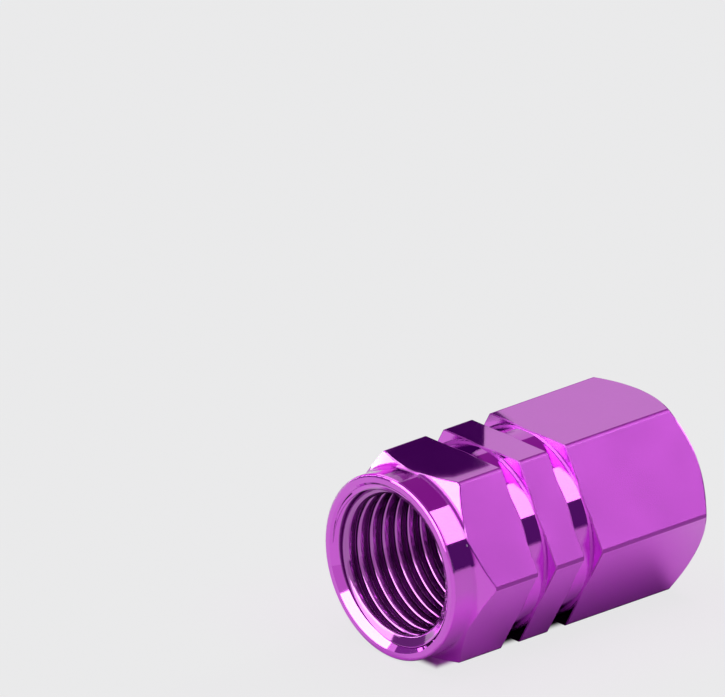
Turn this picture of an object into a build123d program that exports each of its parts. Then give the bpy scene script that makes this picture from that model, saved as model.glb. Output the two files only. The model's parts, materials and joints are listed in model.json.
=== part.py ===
from build123d import *

import os
from math import cos, hypot, radians, sqrt, tan

# Tyre valve cap, turned from hexagon bar and lying on one of its flats.
# X runs along the cap from the mouth to the closed end, and Z is up.
# The origin is the middle of the footprint on the surface that the cap lies on.
# Sizes are in millimetres, and stations are measured along the cap from its mouth.

# Hexagon bar
across_flats = 9.3
length = 16.15
bar_edge_round = 0.22

# Closed end: a flat face, a little inside the flats, and a chamfer that takes off the corners
end_face_step = 0.13
end_chamfer_angle = 50.0

# Collar at the mouth, a little under the flats, and the chamfer behind it, with a hollow between the two
collar_step = 0.04
collar_length = 1.42
collar_chamfer_angle = 48.0
collar_hollow_radius = 0.5

# Rim of the mouth: rounded outside, a narrow flat, and a lead-in cone to the thread
rim_round = 0.2
rim_flat = 0.2
lead_in_angle = 45.0

# Two turned grooves around the hexagon
groove_step = 0.06
groove_width = 1.12
groove_corner_chamfer = 0.12
first_groove_start = 4.76
ring_between_grooves = 1.83

# Break of the sharp edges that turning leaves on the hexagon
edge_break = 0.05

# Blind bore for the valve stem: a plain wall at the root of the valve thread
thread_root_radius = 3.88
thread_length = 8.9

# Recess behind the thread, with the drill's point in the middle of its floor
recess_depth = 0.17
recess_width = 1.5
drill_point_radius = 1.3
drill_point_angle = 118.0

# Sealing washer, snapped into the recess against its floor
washer_radial_gap = 0.04
washer_thickness = 1.35
washer_hole_radius = 1.6
washer_edge_chamfer = 0.15

# Worked out from the sizes above
flat_distance = across_flats / 2
corner_distance = across_flats / sqrt(3)
collar_radius = flat_distance - collar_step
groove_radius = flat_distance - groove_step
end_face_radius = flat_distance - end_face_step
recess_radius = thread_root_radius + recess_depth
recess_floor = thread_length + recess_width
blank_radius = corner_distance + 1.0


def cone_run(radius_change, angle):
    """Length along the cap over which a cone at this angle to the axis changes its radius."""
    return radius_change / tan(radians(angle))


def is_groove_corner(vertex):
    """Whether a corner of the outline lies on the floor of a groove."""
    return abs(vertex.Y - groove_radius) < 0.001


def turned_outline():
    """Half section of what the lathe leaves: station along X, radius along Y."""
    outer_round = min(rim_round, (collar_radius - rim_flat - thread_root_radius) / 2)
    rim_outer = collar_radius - outer_round
    rim_inner = rim_outer - rim_flat
    second_groove_start = first_groove_start + groove_width + ring_between_grooves
    arc_middle = outer_round * (1 - cos(radians(45)))

    outer = [
        (collar_length, collar_radius),
        (collar_length + cone_run(blank_radius - collar_radius, collar_chamfer_angle), blank_radius),
    ]
    for start in (first_groove_start, second_groove_start):
        outer += [
            (start, blank_radius),
            (start, groove_radius),
            (start + groove_width, groove_radius),
            (start + groove_width, blank_radius),
        ]
    outer += [
        (length - cone_run(blank_radius - end_face_radius, end_chamfer_angle), blank_radius),
        (length, end_face_radius),
        (length, 0),
    ]
    bore = [
        (recess_floor + cone_run(drill_point_radius, drill_point_angle / 2), 0),
        (recess_floor, drill_point_radius),
        (recess_floor, recess_radius),
        (thread_length, recess_radius),
        (thread_length, thread_root_radius),
        (cone_run(rim_inner - thread_root_radius, lead_in_angle), thread_root_radius),
        (0, rim_inner),
        (0, rim_outer),
    ]
    with BuildSketch() as section:
        with BuildLine():
            ThreePointArc(
                (0, rim_outer),
                (arc_middle, collar_radius - arc_middle),
                (outer_round, collar_radius),
            )
            Polyline((outer_round, collar_radius), *outer, *bore)
        make_face()
        fillet(section.vertices().sort_by_distance((collar_length, collar_radius))[0], collar_hollow_radius)
        chamfer(section.vertices().filter_by(is_groove_corner), groove_corner_chamfer)
    return section.sketch


def hexagon_bar():
    """Bar with rounded edges, its flats level at the top and bottom."""
    with BuildPart() as bar:
        with BuildSketch(Plane.YZ):
            RegularPolygon(radius=corner_distance, side_count=6)
        extrude(amount=length)
        fillet(bar.edges().filter_by(Axis.X), bar_edge_round)
    return bar.part


def is_on_bar(edge):
    """Whether both ends of an edge lie on the bar's skin, outside everything that is turned."""
    return all(hypot(end.Y, end.Z) > flat_distance for end in (edge @ 0, edge @ 1))


def cap_body():
    """Bar and turned shape in common, with its edges broken, lying on a flat."""
    turned = revolve(turned_outline(), Axis.X, 360)
    body = turned & hexagon_bar()
    cut_edges = body.edges().filter_by(Axis.X, reverse=True).filter_by(is_on_bar)
    end_face_edge = body.faces().sort_by(Axis.X)[-1].edges()
    body = body.chamfer(edge_break, None, cut_edges + end_face_edge)
    return Pos(-length / 2, 0, flat_distance) * body


def sealing_washer():
    """Rubber ring that the end of the valve stem presses on, against the recess's floor."""
    outer_radius = recess_radius - washer_radial_gap
    with BuildSketch() as section:
        with Locations((recess_floor - washer_thickness / 2, (outer_radius + washer_hole_radius) / 2)):
            Rectangle(washer_thickness, outer_radius - washer_hole_radius)
        chamfer(section.vertices(), washer_edge_chamfer)
    ring = revolve(section.sketch, Axis.X, 360)
    return Pos(-length / 2, 0, flat_distance) * ring


os.makedirs("parts", exist_ok=True)
export_step(cap_body(), "parts/cap_body.step")
export_step(sealing_washer(), "parts/sealing_washer.step")
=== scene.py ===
"""Tyre valve cap in bright purple anodised aluminium, lying on one of its flats in a pale studio."""

import json
import logging
import math
from dataclasses import dataclass, field
from enum import Enum
from typing import Any, Sequence, Union

import bpy
from mathutils import Matrix, Vector


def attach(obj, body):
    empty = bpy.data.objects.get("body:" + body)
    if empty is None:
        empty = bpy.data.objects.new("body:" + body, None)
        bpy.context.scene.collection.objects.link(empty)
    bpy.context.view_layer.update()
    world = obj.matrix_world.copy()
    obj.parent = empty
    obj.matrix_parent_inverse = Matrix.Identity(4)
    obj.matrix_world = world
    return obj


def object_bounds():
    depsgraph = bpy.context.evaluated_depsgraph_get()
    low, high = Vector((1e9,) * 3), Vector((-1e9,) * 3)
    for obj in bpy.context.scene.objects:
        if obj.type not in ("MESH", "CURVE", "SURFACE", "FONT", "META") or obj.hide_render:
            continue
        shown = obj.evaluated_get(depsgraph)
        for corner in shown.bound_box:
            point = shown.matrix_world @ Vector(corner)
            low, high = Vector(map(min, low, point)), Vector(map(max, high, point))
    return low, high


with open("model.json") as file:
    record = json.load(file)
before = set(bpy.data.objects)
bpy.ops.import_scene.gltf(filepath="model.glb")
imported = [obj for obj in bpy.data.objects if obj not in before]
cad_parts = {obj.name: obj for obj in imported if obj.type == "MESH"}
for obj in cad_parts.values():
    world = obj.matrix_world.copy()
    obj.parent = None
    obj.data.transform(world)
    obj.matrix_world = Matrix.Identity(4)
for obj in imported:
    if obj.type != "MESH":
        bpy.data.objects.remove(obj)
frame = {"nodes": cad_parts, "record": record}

CAD_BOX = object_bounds()

logging.basicConfig(level=logging.INFO, format="%(name)s: %(message)s")
log = logging.getLogger("valve_cap")

MM = 0.001
ROOT_BODY = "root"
FLAT_DISTANCE = 4.65
MIRRORED_VIEW = (0.616, 0.684, 0.390)
Number = Union[int, float]
Span = tuple[float, float]
Colour = tuple[float, float, float, float]
Corner = tuple[float, float, float]


class MeshNormal(Enum):
    """The normals that a mesh gives: smoothed from face to face, and each face's own."""

    SMOOTH = "Normal"
    FACE = "True Normal"


# Small tools


def mount(name: str) -> dict[str, Any]:
    """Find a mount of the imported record.

    Args:
        name: The mount's name.

    Returns:
        The mount's entry, with its place in metres and its sizes in millimetres.
    """
    return next(entry for entry in frame["record"]["mounts"] if entry["name"] == name)


def grey(level: float) -> Colour:
    """Return a colour without hue, as bright as level."""
    return (level, level, level, 1.0)


class Wire:
    """An output socket of a node tree that takes part in arithmetic."""

    def __init__(self, graph: "Graph", socket: bpy.types.NodeSocket) -> None:
        """Wrap a socket.

        Args:
            graph: The graph that new nodes go into.
            socket: The output socket.
        """
        self.graph = graph
        self.socket = socket

    def _math(self, operation: str, *values: Any) -> "Wire":
        """Add a Math node and return its result."""
        return self.graph.node("ShaderNodeMath", {"operation": operation}, list(values))[0]

    def __add__(self, other: Any) -> "Wire":
        """Return self + other."""
        return self._math("ADD", self, other)

    __radd__ = __add__

    def __sub__(self, other: Any) -> "Wire":
        """Return self - other."""
        return self._math("SUBTRACT", self, other)

    def __rsub__(self, other: Any) -> "Wire":
        """Return other - self."""
        return self._math("SUBTRACT", other, self)

    def __mul__(self, other: Any) -> "Wire":
        """Return self * other."""
        return self._math("MULTIPLY", self, other)

    __rmul__ = __mul__

    def __truediv__(self, other: Any) -> "Wire":
        """Return self / other."""
        return self._math("DIVIDE", self, other)

    def __rtruediv__(self, other: Any) -> "Wire":
        """Return other / self."""
        return self._math("DIVIDE", other, self)

    def __abs__(self) -> "Wire":
        """Return the size of self without its sign."""
        return self._math("ABSOLUTE", self)

    def sine(self) -> "Wire":
        """Return the sine of self, in radians."""
        return self._math("SINE", self)

    def root(self) -> "Wire":
        """Return the square root of self."""
        return self._math("SQRT", self)

    def greatest(self, other: Any) -> "Wire":
        """Return the larger of self and other."""
        return self._math("MAXIMUM", self, other)

    def least(self, other: Any) -> "Wire":
        """Return the smaller of self and other."""
        return self._math("MINIMUM", self, other)

    def ramp(self, low: Number, high: Number, start: Number = 0.0, end: Number = 1.0) -> "Wire":
        """Turn a range of self smoothly into another range.

        Args:
            low: Value of self at which the result is start.
            high: Value of self at which the result is end.
            start: Result below low.
            end: Result above high.

        Returns:
            The smooth step between the two.
        """
        settings = {"interpolation_type": "SMOOTHSTEP"}
        return self.graph.node("ShaderNodeMapRange", settings, [self, low, high, start, end])[0]


class Graph:
    """A node tree that is built by expressions and by one call for every other node."""

    def __init__(self, tree: bpy.types.NodeTree) -> None:
        """Start from a tree.

        Args:
            tree: The tree, which is emptied.
        """
        self.tree = tree
        tree.nodes.clear()

    def node(self, kind: str, settings: dict[str, Any] | None = None, values: Any = ()) -> list[Wire]:
        """Add a node.

        Args:
            kind: The node's type name.
            settings: Attributes of the node, which are set first.
            values: What its inputs get, in order or by name: numbers, colours, objects or wires.

        Returns:
            The node's outputs.
        """
        made = self.tree.nodes.new(kind)
        for name, value in (settings or {}).items():
            setattr(made, name, value)
        pairs = values.items() if isinstance(values, dict) else enumerate(values)
        for key, value in pairs:
            if isinstance(value, Wire):
                self.tree.links.new(value.socket, made.inputs[key])
            else:
                made.inputs[key].default_value = value
        return [Wire(self, socket) for socket in made.outputs]

    def named(self, kind: str, output: str, settings: dict[str, Any] | None = None, values: Any = ()) -> Wire:
        """Add a node and return the output of that name."""
        outputs = self.node(kind, settings, values)
        return next(wire for wire in outputs if wire.socket.name == output)

    def mix(self, factor: Any, start: Any, end: Any) -> Wire:
        """Blend two colours or vectors."""
        settings = {"data_type": "RGBA"}
        return self.node("ShaderNodeMix", settings, {"Factor": factor, 6: start, 7: end})[2]

    def parts(self, vector: Wire) -> list[Wire]:
        """Take a vector apart into its three numbers."""
        return self.node("ShaderNodeSeparateXYZ", None, [vector])

    def vector(self, *parts: Any) -> Wire:
        """Put three numbers together to a vector."""
        return self.node("ShaderNodeCombineXYZ", None, list(parts))[0]

    def noise(self, place: Wire, scale: float, detail: float) -> Wire:
        """Return a cloudy noise around a half."""
        return self.node("ShaderNodeTexNoise", None, {"Vector": place, "Scale": scale, "Detail": detail})[0]

    def rays(self) -> dict[str, Wire]:
        """Return what the light path says of a ray, by name."""
        return {wire.socket.name: wire for wire in self.node("ShaderNodeLightPath")}

    def turned(self, normal: Wire, source: str, target: str) -> Wire:
        """Turn a normal from the directions of one space to those of another."""
        settings = {"vector_type": "NORMAL", "convert_from": source, "convert_to": target}
        return self.node("ShaderNodeVectorTransform", settings, [normal])[0]

    def bump(self, height: Wire, normal: Wire | None = None) -> Wire:
        """Bump a normal.

        Args:
            height: The height of the surface, in metres.
            normal: The normal to start from, or none for the mesh's own.

        Returns:
            The bumped normal.
        """
        values: dict[str, Any] = {"Strength": 1.0, "Distance": 1.0, "Height": height}
        if normal is not None:
            values["Normal"] = normal
        return self.node("ShaderNodeBump", None, values)[0]


# Finishes


@dataclass(frozen=True)
class Finish:
    """A surface finish: its name, and the record's slot that it belongs to, empty in the studio."""

    name: str
    slot: str

    def build(self, graph: Graph) -> Wire:
        """Return the finish's shader."""
        raise NotImplementedError

    def material(self) -> bpy.types.Material:
        """Make the finish's material.

        Returns:
            The material, made once and reused after that.
        """
        made = bpy.data.materials.get(self.name)
        if made is None:
            made = bpy.data.materials.new(self.name)
            made.use_nodes = True
            graph = Graph(made.node_tree)
            graph.node("ShaderNodeOutputMaterial", None, [self.build(graph)])
        return made


@dataclass(frozen=True)
class Spot:
    """Where a point of the cap's surface lies: along and across it, above its axis, and on its flats."""

    place: Wire
    along: Wire
    across: Wire
    up: Wire
    radius: Wire
    flats: Wire


@dataclass(frozen=True)
class AnodisedAluminium(Finish):
    """Purple anodised aluminium: mirror-bright where it was turned, a little softer on the bar's flats, with
    painted dark lines along its corners and broken edges and painted shade in its bore.

    Places along the cap are counted from its middle, and distances from its axis. A span is where
    something sets in: 0 at its first value and 1 at its second.
    """

    dye: Colour = (0.70, 0.09, 0.77, 1.0)
    flat_dye: Colour = (0.70, 0.125, 0.77, 1.0)
    # darker dye that paints dark lines along the bar's corners and broken edges
    painted_edge_line_dye: Colour = (0.37, 0.05, 0.41, 1.0)
    # darker dye that paints the shade inside the bore
    painted_bore_shade_dye: Colour = (0.42, 0.10, 0.46, 1.0)
    # share of the painted dark edge line that the broken edges get
    painted_break_share: float = 0.5
    dye_spread: float = 0.1
    mouth_dye: float = 0.95
    mouth_fade: Span = (-8.0 * MM, 0.0)

    turned_roughness: float = 0.04
    drawn_roughness: float = 0.20
    edge_roughness: float = 0.52
    bore_roughness: float = 0.09
    roughness_spread: float = 0.2
    cloud_scale: float = 420.0

    coat_roughness: float = 0.06
    coat_ior: float = 1.6
    coat_worn_at_edges: float = 0.8
    coat_worn_in_bore: float = 0.1

    tool_feed: float = 0.045 * MM
    mark_depth: float = 0.0006 * MM
    grain_depth: float = 0.00022 * MM
    grain_scale: tuple[float, float, float] = (300.0, 9000.0, 9000.0)

    axis_height: float = FLAT_DISTANCE * MM
    on_flats: Span = (4.625 * MM, 4.64 * MM)
    out_of_bore: Span = (3.89 * MM, 3.91 * MM)
    bar_corners: Span = (5.302 * MM, 5.316 * MM)
    near_corners: Span = (5.27 * MM, 5.29 * MM)
    behind_front: Span = (-4.0 * MM, -3.9 * MM)
    outer_breaks: Span = (4.72 * MM, 4.74 * MM)
    leans_enough: Span = (0.2, 0.3)
    leans_fully: Span = (0.9, 0.95)

    rim_start: float = -8.075 * MM
    rim_round: float = 0.2 * MM
    outside_rim: Span = (4.41 * MM, 4.415 * MM)
    hollow_start: float = -6.8776 * MM
    hollow_radius: float = 0.5 * MM
    chamfer_lean: float = 0.743145
    front_ends: Span = (-4.5 * MM, -4.49 * MM)
    sign_width: float = 0.00001 * MM

    def spot(self, graph: Graph) -> Spot:
        """Find where the surface lies in the cap.

        Args:
            graph: The material's graph.

        Returns:
            The spot, whose flats say 1 on the bar's six flats and 0 on everything that was turned.
        """
        place = graph.named("ShaderNodeTexCoord", "Object")
        along, across, height = graph.parts(place)
        up = height - self.axis_height
        radius = (across * across + up * up).root()
        half, tall = 0.5, math.sqrt(3) / 2
        distance = abs(up).greatest(abs(across * tall + up * half)).greatest(abs(across * tall - up * half))
        return Spot(place, along, across, up, radius, distance.ramp(*self.on_flats))

    def facing(self, graph: Graph, kind: MeshNormal) -> list[Wire]:
        """Return the three parts of one of the mesh's normals, in the cap's own directions."""
        world = graph.named("ShaderNodeNewGeometry", kind.value)
        return graph.parts(graph.turned(world, "WORLD", "OBJECT"))

    def leaning(self, graph: Graph) -> Wire:
        """Return 1 where a face looks neither along the cap nor straight away from its axis."""
        lean = abs(self.facing(graph, MeshNormal.FACE)[0])
        return lean.ramp(*self.leans_enough) * lean.ramp(*self.leans_fully, 1.0, 0.0)

    def front_lean(self, along: Wire) -> Wire:
        """Work out how far the front of the cap leans along it.

        Args:
            along: Place along the cap.

        Returns:
            The lean of the rim's round, the collar, its hollow and its chamfer, from 0 to -1.
        """
        hollow = ((along - self.hollow_start) / self.hollow_radius).greatest(0.0).least(self.chamfer_lean)
        rim = ((self.rim_start + self.rim_round - along) / self.rim_round).greatest(0.0).least(1.0)
        return 0.0 - hollow - rim

    def normal(self, graph: Graph, spot: Spot) -> Wire:
        """Turn the mesh's normals exactly towards or away from the axis where the cap was turned.

        Args:
            graph: The material's graph.
            spot: Where the surface lies.

        Returns:
            The normal, as the mesh gives it on the flats and on the bar's rounded corners.
        """
        lean, side, rise = self.facing(graph, MeshNormal.SMOOTH)
        outwards = side * spot.across + rise * spot.up
        sign = outwards.ramp(-self.sign_width, self.sign_width, -1.0, 1.0)
        front = spot.along.ramp(*self.front_ends, 1.0, 0.0) * spot.radius.ramp(*self.outside_rim)
        exact_lean = lean + front * (self.front_lean(spot.along) - lean)
        spread = (1.0 - exact_lean * exact_lean).greatest(0.0).root() * sign / spot.radius
        exact = graph.vector(exact_lean, spot.across * spread, spot.up * spread)
        meshed = graph.vector(lean, side, rise)
        turned = (1.0 - spot.flats) * spot.radius.ramp(*self.near_corners, 1.0, 0.0)
        return graph.turned(graph.mix(turned, meshed, exact), "OBJECT", "WORLD")

    def bumps(self, graph: Graph, spot: Spot) -> Wire:
        """Bump the surface: the tool's fine rings where it was turned, and drawn streaks on the flats.

        Args:
            graph: The material's graph.
            spot: Where the surface lies.

        Returns:
            The bumped normal.
        """
        feed = (spot.along + spot.radius) * (2 * math.pi / self.tool_feed)
        rings = feed.sine() * (1.0 - spot.flats) * self.mark_depth
        stretched = graph.node(
            "ShaderNodeVectorMath", {"operation": "MULTIPLY"}, [spot.place, self.grain_scale]
        )[0]
        grain = graph.noise(stretched, 1.0, 3.0)
        height = rings + (grain - 0.5) * spot.flats * self.grain_depth
        return graph.bump(height, self.normal(graph, spot))

    def build(self, graph: Graph) -> Wire:
        """Build the shader: a metal under a clear coat, worn at the corners and the broken edges, where a
        darker dye paints dark edge lines; a darker dye paints shade in the bore.

        Args:
            graph: The material's graph.

        Returns:
            The shader.
        """
        spot = self.spot(graph)
        bore = spot.radius.ramp(*self.out_of_bore, 1.0, 0.0)
        breaks = self.leaning(graph) * spot.along.ramp(*self.behind_front) * (1.0 - bore)
        worn_and_painted_edge = spot.radius.ramp(*self.bar_corners).greatest(breaks * spot.radius.ramp(*self.outer_breaks))
        dull = worn_and_painted_edge.greatest(breaks)
        cloud = graph.noise(spot.place, self.cloud_scale, 2.0) - 0.5
        roughness = self.turned_roughness + spot.flats * (self.drawn_roughness - self.turned_roughness)
        roughness = roughness + dull * (self.edge_roughness - roughness)
        roughness = roughness + bore * (self.bore_roughness - roughness)
        dye = graph.mix(spot.flats, self.dye, self.flat_dye)
        # painted dark lines along the corners and broken edges; their roughness and thinner coat stand for
        # wear
        dye = graph.mix(worn_and_painted_edge.greatest(breaks * self.painted_break_share), dye, self.painted_edge_line_dye)
        # painted shade in the bore
        dye = graph.mix(bore, dye, self.painted_bore_shade_dye)
        depth = (1.0 + self.dye_spread * cloud) * spot.along.ramp(*self.mouth_fade, self.mouth_dye, 1.0)
        deep = graph.node("ShaderNodeVectorMath", {"operation": "SCALE"}, {"Vector": dye, "Scale": depth})[0]
        return graph.named(
            "ShaderNodeBsdfPrincipled",
            "BSDF",
            None,
            {
                "Base Color": deep,
                "Metallic": 1.0,
                "Roughness": roughness * (1.0 + self.roughness_spread * cloud),
                "Coat Weight": (1.0 - dull * self.coat_worn_at_edges) * (1.0 - bore * self.coat_worn_in_bore),
                "Coat Roughness": self.coat_roughness,
                "Coat IOR": self.coat_ior,
                "Normal": self.bumps(graph, spot),
            },
        )


@dataclass(frozen=True)
class SealRubber(Finish):
    """Matt black rubber: moulded, finely pored, with a faint grey bloom."""

    colour: Colour = (0.012, 0.011, 0.013, 1.0)
    bloom_colour: Colour = (0.03, 0.029, 0.032, 1.0)
    bloom_scale: float = 900.0
    bloom_shows: Span = (0.4, 0.7)
    pore_scale: float = 16000.0
    swell: float = 0.006 * MM
    pore_depth: float = 0.002 * MM
    roughness: float = 0.48
    bloom_roughness: float = 0.2

    def build(self, graph: Graph) -> Wire:
        """Build the shader.

        Args:
            graph: The material's graph.

        Returns:
            The shader.
        """
        place = graph.named("ShaderNodeTexCoord", "Object")
        bloom = graph.noise(place, self.bloom_scale, 4.0)
        pores = graph.noise(place, self.pore_scale, 2.0)
        height = (bloom - 0.5) * self.swell + (pores - 0.5) * self.pore_depth
        return graph.named(
            "ShaderNodeBsdfPrincipled",
            "BSDF",
            None,
            {
                "Base Color": graph.mix(bloom.ramp(*self.bloom_shows), self.colour, self.bloom_colour),
                "Roughness": self.roughness + self.bloom_roughness * bloom,
                "Normal": graph.bump(height),
            },
        )


@dataclass(frozen=True)
class StudioPaper(Finish):
    """Pale matt paper with a painted purple bounce light around the cap, painted shade beside it and a
    painted dark shadow where the cap stands over it, which the camera sees mostly evenly lit.

    Places along and across the cap are counted from its middle, and a span is where something
    sets in or ends.
    """

    colour: Colour = (0.836, 0.836, 0.842, 1.0)
    # painted purple bounce light on the paper around the cap
    painted_glow_colour: Colour = (0.98, 0.56, 1.0, 1.0)
    # painted contact shade on the paper beside the cap
    painted_contact_shade: Colour = (0.56, 0.31, 0.60, 1.0)
    # painted dark shadow on the paper under the cap
    painted_shadow_colour: Colour = (0.02, 0.01, 0.02, 1.0)
    evenness: float = 0.92
    mirrored_evenness: float = 0.8
    beside_cap: Span = (2.0 * MM, 2.6 * MM)
    beyond_cap: Span = (6.8 * MM, 7.4 * MM)
    before_mouth: Span = (-9.0 * MM, -8.2 * MM)
    painted_glow_across: Span = (5.2 * MM, 14.0 * MM)
    painted_glow_along: Span = (6.8 * MM, 14.0 * MM)
    shade_across: Span = (2.75 * MM, 5.2 * MM)
    shade_behind: Span = (6.8 * MM, 7.8 * MM)
    shade_in_front: Span = (-5.0 * MM, -0.5 * MM)
    shade_at_mouth: float = 0.25
    painted_shadow_across: Span = (2.45 * MM, 2.75 * MM)
    painted_shadow_along: Span = (4.6 * MM, 5.4 * MM)

    def build(self, graph: Graph) -> Wire:
        """Build the shader.

        Args:
            graph: The material's graph.

        Returns:
            The shader.
        """
        along, across, _ = graph.parts(graph.named("ShaderNodeTexCoord", "Object"))
        reach, side = abs(along), abs(across)
        rays = graph.rays()
        open_floor = side.ramp(*self.beside_cap).greatest(reach.ramp(*self.beyond_cap))
        lift = rays["Is Camera Ray"] * open_floor * self.evenness
        mirrored = rays["Is Glossy Ray"] * along.ramp(*self.before_mouth, 1.0, 0.0) * self.mirrored_evenness
        painted_glow = side.ramp(*self.painted_glow_across, 1.0, 0.0) * reach.ramp(*self.painted_glow_along, 1.0, 0.0)
        shade = side.ramp(*self.shade_across, 1.0, 0.0) * along.ramp(*self.shade_behind, 1.0, 0.0)
        shade = shade * along.ramp(*self.shade_in_front, self.shade_at_mouth, 1.0)
        painted_shadow = side.ramp(*self.painted_shadow_across, 1.0, 0.0) * reach.ramp(*self.painted_shadow_along, 1.0, 0.0)
        # painted purple bounce light around the cap
        colour = graph.mix(painted_glow, self.colour, self.painted_glow_colour)
        # painted contact shade beside the cap
        colour = graph.mix(shade, colour, self.painted_contact_shade)
        # painted dark shadow under the cap
        colour = graph.mix(painted_shadow, colour, self.painted_shadow_colour)
        paper = graph.named("ShaderNodeBsdfDiffuse", "BSDF", None, [colour])
        even = graph.named("ShaderNodeEmission", "Emission", None, [self.colour, 1.0])
        return graph.node("ShaderNodeMixShader", None, [lift.greatest(mirrored), paper, even])[0]


@dataclass(frozen=True)
class PanelLight(Finish):
    """An evenly bright panel."""

    colour: Colour = (1.0, 1.0, 1.0, 1.0)

    def build(self, graph: Graph) -> Wire:
        """Return the finish's shader."""
        return graph.named("ShaderNodeEmission", "Emission", None, [self.colour, 1.0])


# The cap


@dataclass
class CapBody:
    """The turned body, as the frame gives it."""

    node: str = "cap_body"
    finish: Finish = field(default_factory=lambda: AnodisedAluminium("anodised_purple", "anodised_aluminium"))

    def build(self) -> bpy.types.Object:
        """Dress the body.

        Returns:
            The body's object.
        """
        body = frame["nodes"][self.node]
        body.data.materials.clear()
        body.data.materials.append(self.finish.material())
        return body


@dataclass
class SealingWasher:
    """The rubber ring behind the thread, as the frame gives it."""

    node: str = "sealing_washer"
    finish: Finish = field(default_factory=lambda: SealRubber("washer_rubber", "seal_rubber"))

    def build(self) -> bpy.types.Object:
        """Dress the washer.

        Returns:
            The washer's object.
        """
        washer = frame["nodes"][self.node]
        washer.data.materials.clear()
        washer.data.materials.append(self.finish.material())
        return washer


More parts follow.
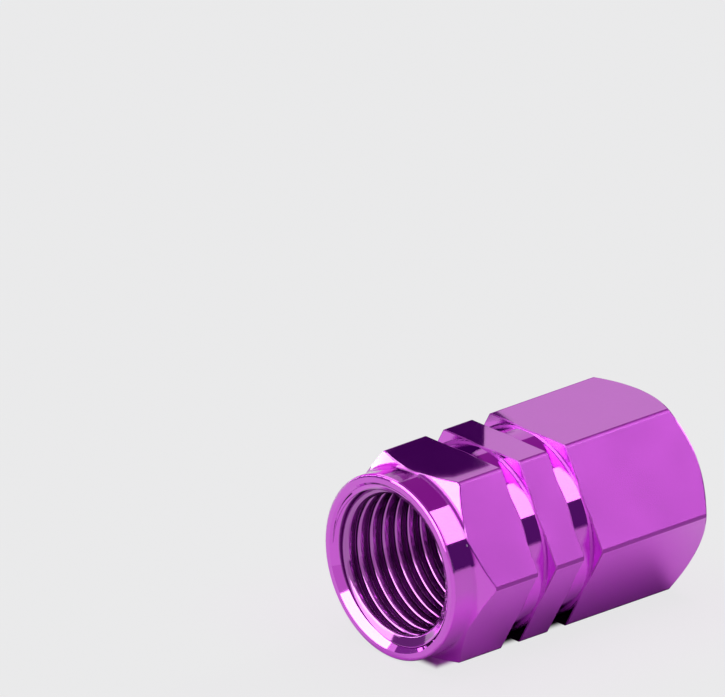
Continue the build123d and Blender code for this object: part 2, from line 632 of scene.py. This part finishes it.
@dataclass
class StemThread:
    """The valve thread in the bore: one right-handed ridge, which the lead-in cone cuts back at the mouth."""

    finish: Finish
    pitch: float = 0.794 * MM
    ridge_height: float = 0.43 * MM
    ridge_base: float = 0.694 * MM
    ridge_crest: float = 0.24 * MM
    crest_round: float = 0.18 * MM
    sunk: float = 0.06 * MM
    lead_in_reach: float = 4.21 * MM
    lead_in_slope: float = 1.65
    lead_in_gap: float = 0.02 * MM
    lead_in_layers: float = 0.06
    mouth_gap: float = 0.1 * MM
    first_crest: float = -0.129 * MM
    run_out: float = 0.36 * MM
    merge_distance: float = 0.0005 * MM
    steps_a_turn: int = 96
    steps_across: int = 22
    steps_a_round: int = 4

    def sizes(self) -> dict[str, float]:
        """Work out the tree's inputs from the mount and from the ridge's sizes.

        Returns:
            The value of each named input.
        """
        hole = mount("stem_thread")
        mouth = CAD_BOX[0].x
        end = hole["pos_m"][0] + hole["dims"]["length_mm"] * MM
        start = mouth + self.first_crest
        length = end - self.run_out - start
        return {
            "Pitch Count": length / self.pitch,
            "Length": length,
            "Start": start,
            "Root Radius": hole["dims"]["r_mm"] * MM,
            "Height": self.ridge_height,
            "Sunk": self.sunk,
            "Base Width": self.ridge_base,
            "Crest Width": self.ridge_crest,
            "Crest Round": self.crest_round,
            "Mouth": mouth,
            "Lead-in Reach": self.lead_in_reach,
            "Lead-in Slope": self.lead_in_slope,
            "Axis Height": hole["pos_m"][2],
        }

    def helix(self, graph: Graph, size: dict[str, Wire]) -> Wire:
        """Wind the right-handed line that the middle of the ridge follows.

        Args:
            graph: The tree's graph.
            size: The tree's inputs, by name.

        Returns:
            The line, whose normals keep the ridge upright.
        """
        middle = size["Root Radius"] + size["Sunk"] - (size["Height"] + size["Sunk"]) / 2
        spiral = graph.node(
            "GeometryNodeCurveSpiral",
            None,
            {
                "Resolution": self.steps_a_turn,
                "Rotations": size["Pitch Count"],
                "Start Radius": middle,
                "End Radius": middle,
                "Height": size["Length"],
                "Reverse": True,
            },
        )[0]
        return graph.node("GeometryNodeSetCurveNormal", {"mode": "Z_UP"}, {"Curve": spiral})[0]

    def section(self, graph: Graph, size: dict[str, Wire]) -> Wire:
        """Draw the ridge's section.

        Args:
            graph: The tree's graph.
            size: The tree's inputs, by name.

        Returns:
            The outline, with a rounded crest and evenly spaced points.
        """
        ridge = graph.node(
            "GeometryNodeCurvePrimitiveQuadrilateral",
            {"mode": "TRAPEZOID"},
            {
                "Bottom Width": size["Base Width"],
                "Top Width": size["Crest Width"],
                "Offset": 0.0,
                "Height": size["Height"] + size["Sunk"],
            },
        )[0]
        softened = graph.node(
            "GeometryNodeFilletCurve",
            {"mode": "POLY"},
            {
                "Curve": ridge,
                "Count": self.steps_a_round,
                "Radius": size["Crest Round"],
                "Limit Radius": True,
            },
        )[0]
        spacing = {"Curve": softened, "Count": self.steps_across}
        return graph.node("GeometryNodeResampleCurve", None, spacing)[0]

    def cut_back(self, graph: Graph, size: dict[str, Wire], wound: Wire) -> Wire:
        """Lay the wound ridge in the bore, and press it back behind the lead-in cone and the mouth.

        Args:
            graph: The tree's graph.
            size: The tree's inputs, by name.
            wound: The ridge, wound around the vertical.

        Returns:
            The ridge in its place.
        """
        east, north, along = graph.parts(graph.node("GeometryNodeInputPosition")[0])
        radius = (east * east + north * north).root()
        crest = size["Root Radius"] - size["Height"]
        kept_along = (along + size["Start"]).greatest(size["Mouth"] + self.mouth_gap)
        cone = size["Lead-in Reach"] - (kept_along - size["Mouth"]) * size["Lead-in Slope"]
        kept_radius = radius.greatest(cone + self.lead_in_gap + (radius - crest) * self.lead_in_layers)
        spread = kept_radius / radius
        moved = graph.vector(kept_along, east * spread, north * spread + size["Axis Height"])
        return graph.node("GeometryNodeSetPosition", None, {"Geometry": wound, "Position": moved})[0]

    def tree(self, names: Sequence[str]) -> bpy.types.NodeTree:
        """Build the tree that winds the ridge.

        Args:
            names: The names of its inputs, which are all lengths or counts.

        Returns:
            The geometry node tree.
        """
        tree = bpy.data.node_groups.new("valve_thread", "GeometryNodeTree")
        tree.interface.new_socket("Geometry", in_out="OUTPUT", socket_type="NodeSocketGeometry")
        for name in names:
            tree.interface.new_socket(name, in_out="INPUT", socket_type="NodeSocketFloat")
        graph = Graph(tree)
        size = {wire.socket.name: wire for wire in graph.node("NodeGroupInput")}
        wound = graph.node(
            "GeometryNodeCurveToMesh",
            None,
            {"Curve": self.helix(graph, size), "Profile Curve": self.section(graph, size), "Fill Caps": True},
        )[0]
        laid = self.cut_back(graph, size, wound)
        merging = {"Geometry": laid, "Distance": self.merge_distance}
        merged = graph.node("GeometryNodeMergeByDistance", None, merging)[0]
        smooth = graph.node("GeometryNodeSetShadeSmooth", None, {"Geometry": merged})[0]
        real = graph.node("GeometryNodeRealizeInstances", None, [smooth])[0]
        dressing = {"Geometry": real, "Material": self.finish.material()}
        graph.node("NodeGroupOutput", None, [graph.node("GeometryNodeSetMaterial", None, dressing)[0]])
        return tree

    def build(self) -> bpy.types.Object:
        """Wind the ridge and turn it into a plain mesh.

        Returns:
            The thread's object.
        """
        sizes = self.sizes()
        tree = self.tree(list(sizes))
        thread = bpy.data.objects.new("stem_thread", bpy.data.meshes.new("stem_thread_start"))
        bpy.context.scene.collection.objects.link(thread)
        winding = thread.modifiers.new("winding", "NODES")
        winding.node_group = tree
        for item in tree.interface.items_tree:
            if item.in_out == "INPUT":
                winding[item.identifier] = sizes[item.name]
        evaluated = thread.evaluated_get(bpy.context.evaluated_depsgraph_get())
        wound = bpy.data.meshes.new_from_object(evaluated)
        thread.modifiers.clear()
        thread.data = wound
        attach(thread, ROOT_BODY)
        return thread


# The studio


@dataclass
class Viewpoint:
    """The camera: it looks down on the cap from the mouth's side, without perspective."""

    azimuth: float = 42.0
    elevation: float = 22.95
    distance: float = 0.6
    frame_width: float = 34.35 * MM
    mouth_right: float = 26.3 / 725
    mouth_down: float = 219.7 / 725

    def axes(self) -> tuple[Vector, Vector, Vector]:
        """Work out how the camera stands.

        Returns:
            The picture's right and up, and the direction that the camera looks in.
        """
        turn, tilt = math.radians(self.azimuth), math.radians(self.elevation)
        right = Vector((math.cos(turn), -math.sin(turn), 0.0))
        look = Vector((math.sin(turn) * math.cos(tilt), math.cos(turn) * math.cos(tilt), -math.sin(tilt)))
        return right, right.cross(look), look

    def build(self, mouth: Vector) -> None:
        """Make the camera.

        Args:
            mouth: The middle of the mouth's plane, which gives the framing.
        """
        right, up, look = self.axes()
        aim = mouth + self.frame_width * (self.mouth_down * up - self.mouth_right * right)
        data = bpy.data.cameras.new("camera")
        data.type = "ORTHO"
        data.ortho_scale = self.frame_width
        data.clip_start, data.clip_end = 0.01, 10.0
        camera = bpy.data.objects.new("camera", data)
        bpy.context.scene.collection.objects.link(camera)
        camera.location = aim - look * self.distance
        camera.rotation_euler = Matrix((right, up, -look)).transposed().to_euler()
        bpy.context.scene.camera = camera


def hang(name: str, points: list[Vector], faces: list[tuple[int, ...]], colour: Colour) -> None:
    """Hang a card or a panel in the studio, where only reflections see it.

    Args:
        name: The name of its object and of its finish.
        points: Its points, in metres.
        faces: Its faces, as numbers of points.
        colour: What it shines with, where 1 is white.
    """
    mesh = bpy.data.meshes.new(name)
    mesh.from_pydata(points, [], faces)
    mesh.materials.append(PanelLight(name, "", colour).material())
    card = bpy.data.objects.new(name, mesh)
    bpy.context.scene.collection.objects.link(card)
    card.visible_camera = False
    card.visible_diffuse = False
    card.visible_transmission = False
    card.visible_shadow = False


@dataclass(frozen=True)
class Panel:
    """A reflecting panel far away: what the camera sees mirrored where the cap's surface faces certain ways.

    A facing is an angle around the cap's axis, 90 upwards, and a tilt towards the mouth, 0 for a cylinder.
    """

    name: str
    around: Span
    tilt: Span
    colour: Colour
    distance: float = 1.5
    steps: int = 24

    def point(self, across: float, down: float) -> Vector:
        """Find a point of the panel.

        Args:
            across: Share of the way around.
            down: Share of the way from the least tilt to the greatest.

        Returns:
            The point.
        """
        turn = math.radians(self.around[0] + (self.around[1] - self.around[0]) * across)
        lean = math.radians(self.tilt[0] + (self.tilt[1] - self.tilt[0]) * down)
        facing = Vector((-math.sin(lean), math.cos(lean) * math.cos(turn), math.cos(lean) * math.sin(turn)))
        return self.distance * Viewpoint().axes()[2].reflect(facing)

    def build(self, mouth: Vector) -> None:
        """Hang the panel, so far away that the mouth's place makes no difference.

        Args:
            mouth: The middle of the mouth's plane, which is not used.
        """
        share = [step / self.steps for step in range(self.steps + 1)]
        points = [self.point(across, down) for across in share for down in share]
        row = self.steps + 1
        faces = [
            (i * row + j, i * row + j + 1, (i + 1) * row + j + 1, (i + 1) * row + j)
            for i in range(self.steps)
            for j in range(self.steps)
        ]
        hang(self.name, points, faces, self.colour)


@dataclass(frozen=True)
class Card:
    """A small flat card close to the cap: its corners in millimetres from the middle of the mouth."""

    name: str
    corners: tuple[Corner, ...]
    colour: Colour

    def build(self, mouth: Vector) -> None:
        """Hang the card."""
        points = [mouth + Vector(corner) * MM for corner in self.corners]
        hang(self.name, points, [tuple(range(len(points)))], self.colour)


def lifted(outline: Sequence[Span], away: float) -> tuple[Corner, ...]:
    """Lift an outline from the upper flat, the way that the flat reflects the camera's view.

    Args:
        outline: Its corners along and across the flat, in millimetres from the mouth and the middle.
        away: How far it is lifted, in millimetres.

    Returns:
        Its corners, as a card's.
    """
    along, across, up = MIRRORED_VIEW
    return tuple((x + along * away, y + across * away, FLAT_DISTANCE + up * away) for x, y in outline)


SHADE = (0.044, 0.0, 0.075, 1.0)
SHADED_FLAT = (
    (1.36, 2.9), (9.3, 2.9), (8.8, 0.9), (7.63, 1.7), (5.9, -0.2),
    (5.0, -0.4), (4.6, -2.1), (2.3, -2.0), (1.36, -1.3),
)
SHADED_COLLAR = ((1.69, 2.17), (2.44, 2.17), (0.54, -1.59), (-0.21, -1.59))
BEHIND_GROOVES = ((4.6, 5.0, 3.2), (10.3, 5.0, 3.2), (10.3, 5.0, 6.4), (4.6, 5.0, 6.4))


@dataclass
class Studio:
    """A pale floor, the room's light, and the panels that the metal reflects."""

    floor_size: float = 6.0
    room_colour: Colour = grey(0.25)
    seen_colour: Colour = grey(0.82)
    mirrored_colour: Colour = (0.68, 0.55, 0.68, 1.0)
    lamp_height: float = 0.60
    lamp_size: float = 0.90
    lamp_power: float = 3.0
    hung: tuple[Union[Panel, Card], ...] = (
        Panel("purple_ceiling", (98, 126.3), (-16, 16), (0.29, 0.05, 0.30, 1.0)),
        Panel("right_softbox", (126.3, 148.62), (-16, 16), grey(3.0)),
        Panel("right_flag", (148.62, 166), (-16, 27), (0.10, 0.034, 0.146, 1.0)),
        Panel("left_key", (44, 92), (46.4, 49.5), grey(6.5), 1.4),
        Panel("right_key", (92, 145), (44.0, 49.5), grey(6.5), 1.4),
        Panel("magenta_back", (50, 83), (-6, 40), (0.95, 0.12, 0.95, 1.0)),
        Panel("key_tail", (92, 150), (49.5, 56), grey(5.0), 1.45),
        Panel("key_surround", (85, 146), (34, 57), grey(1.0)),
        Panel("thread_key", (92, 152), (55, 70), grey(3.0), 1.45),
        Panel("hollow_key", (78, 97), (16, 32), grey(1.8), 1.45),
        Panel("mouth_side", (20, 146), (20, 88), (0.25, 0.09, 0.30, 1.0), 1.6),
        Card("dark_card", lifted(SHADED_FLAT, 1.5), SHADE),
        Card("collar_card", lifted(SHADED_COLLAR, 4.0), (0.12, 0.0, 0.14, 1.0)),
        Card("back_card", BEHIND_GROOVES, SHADE),
    )

    def floor(self) -> None:
        """Lay the floor under the cap."""
        half = self.floor_size / 2
        corners = [(-half, -half, 0), (half, -half, 0), (half, half, 0), (-half, half, 0)]
        mesh = bpy.data.meshes.new("floor")
        mesh.from_pydata(corners, [], [(0, 1, 2, 3)])
        mesh.materials.append(StudioPaper("studio_paper", "").material())
        floor = bpy.data.objects.new("floor", mesh)
        bpy.context.scene.collection.objects.link(floor)

    def lamp(self) -> None:
        """Hang the broad lamp over the cap, which the metal doesn't reflect."""
        data = bpy.data.lights.new("overhead_lamp", "AREA")
        data.shape = "DISK"
        data.size = self.lamp_size
        data.energy = self.lamp_power
        lamp = bpy.data.objects.new("overhead_lamp", data)
        bpy.context.scene.collection.objects.link(lamp)
        lamp.location = (0.0, 0.0, self.lamp_height)
        lamp.visible_glossy = False

    def room(self) -> None:
        """Make the world's light: plain white, seen as pale as the floor by the camera."""
        world = bpy.data.worlds.new("room")
        bpy.context.scene.world = world
        world.use_nodes = True
        graph = Graph(world.node_tree)
        rays = graph.rays()
        colour = graph.mix(rays["Is Camera Ray"], self.room_colour, self.seen_colour)
        colour = graph.mix(rays["Is Glossy Ray"], colour, self.mirrored_colour)
        background = graph.named("ShaderNodeBackground", "Background", None, [colour, 1.0])
        graph.node("ShaderNodeOutputWorld", None, [background])

    def build(self, mouth: Vector) -> None:
        """Build the studio.

        Args:
            mouth: The middle of the mouth's plane, from which the cards are placed.
        """
        self.floor()
        self.room()
        self.lamp()
        for piece in self.hung:
            piece.build(mouth)


def main() -> None:
    """Build the cap and its studio."""
    low, high = CAD_BOX
    mouth = Vector((low.x, 0.0, (low.z + high.z) / 2))
    body = CapBody()
    for part in (body, SealingWasher(), StemThread(body.finish)):
        made = part.build()
        log.info("%s: %d faces", made.name, len(made.data.polygons))
    Studio().build(mouth)
    Viewpoint().build(mouth)
    bpy.context.scene.view_settings.view_transform = "Standard"


if __name__ == "__main__":
    main()
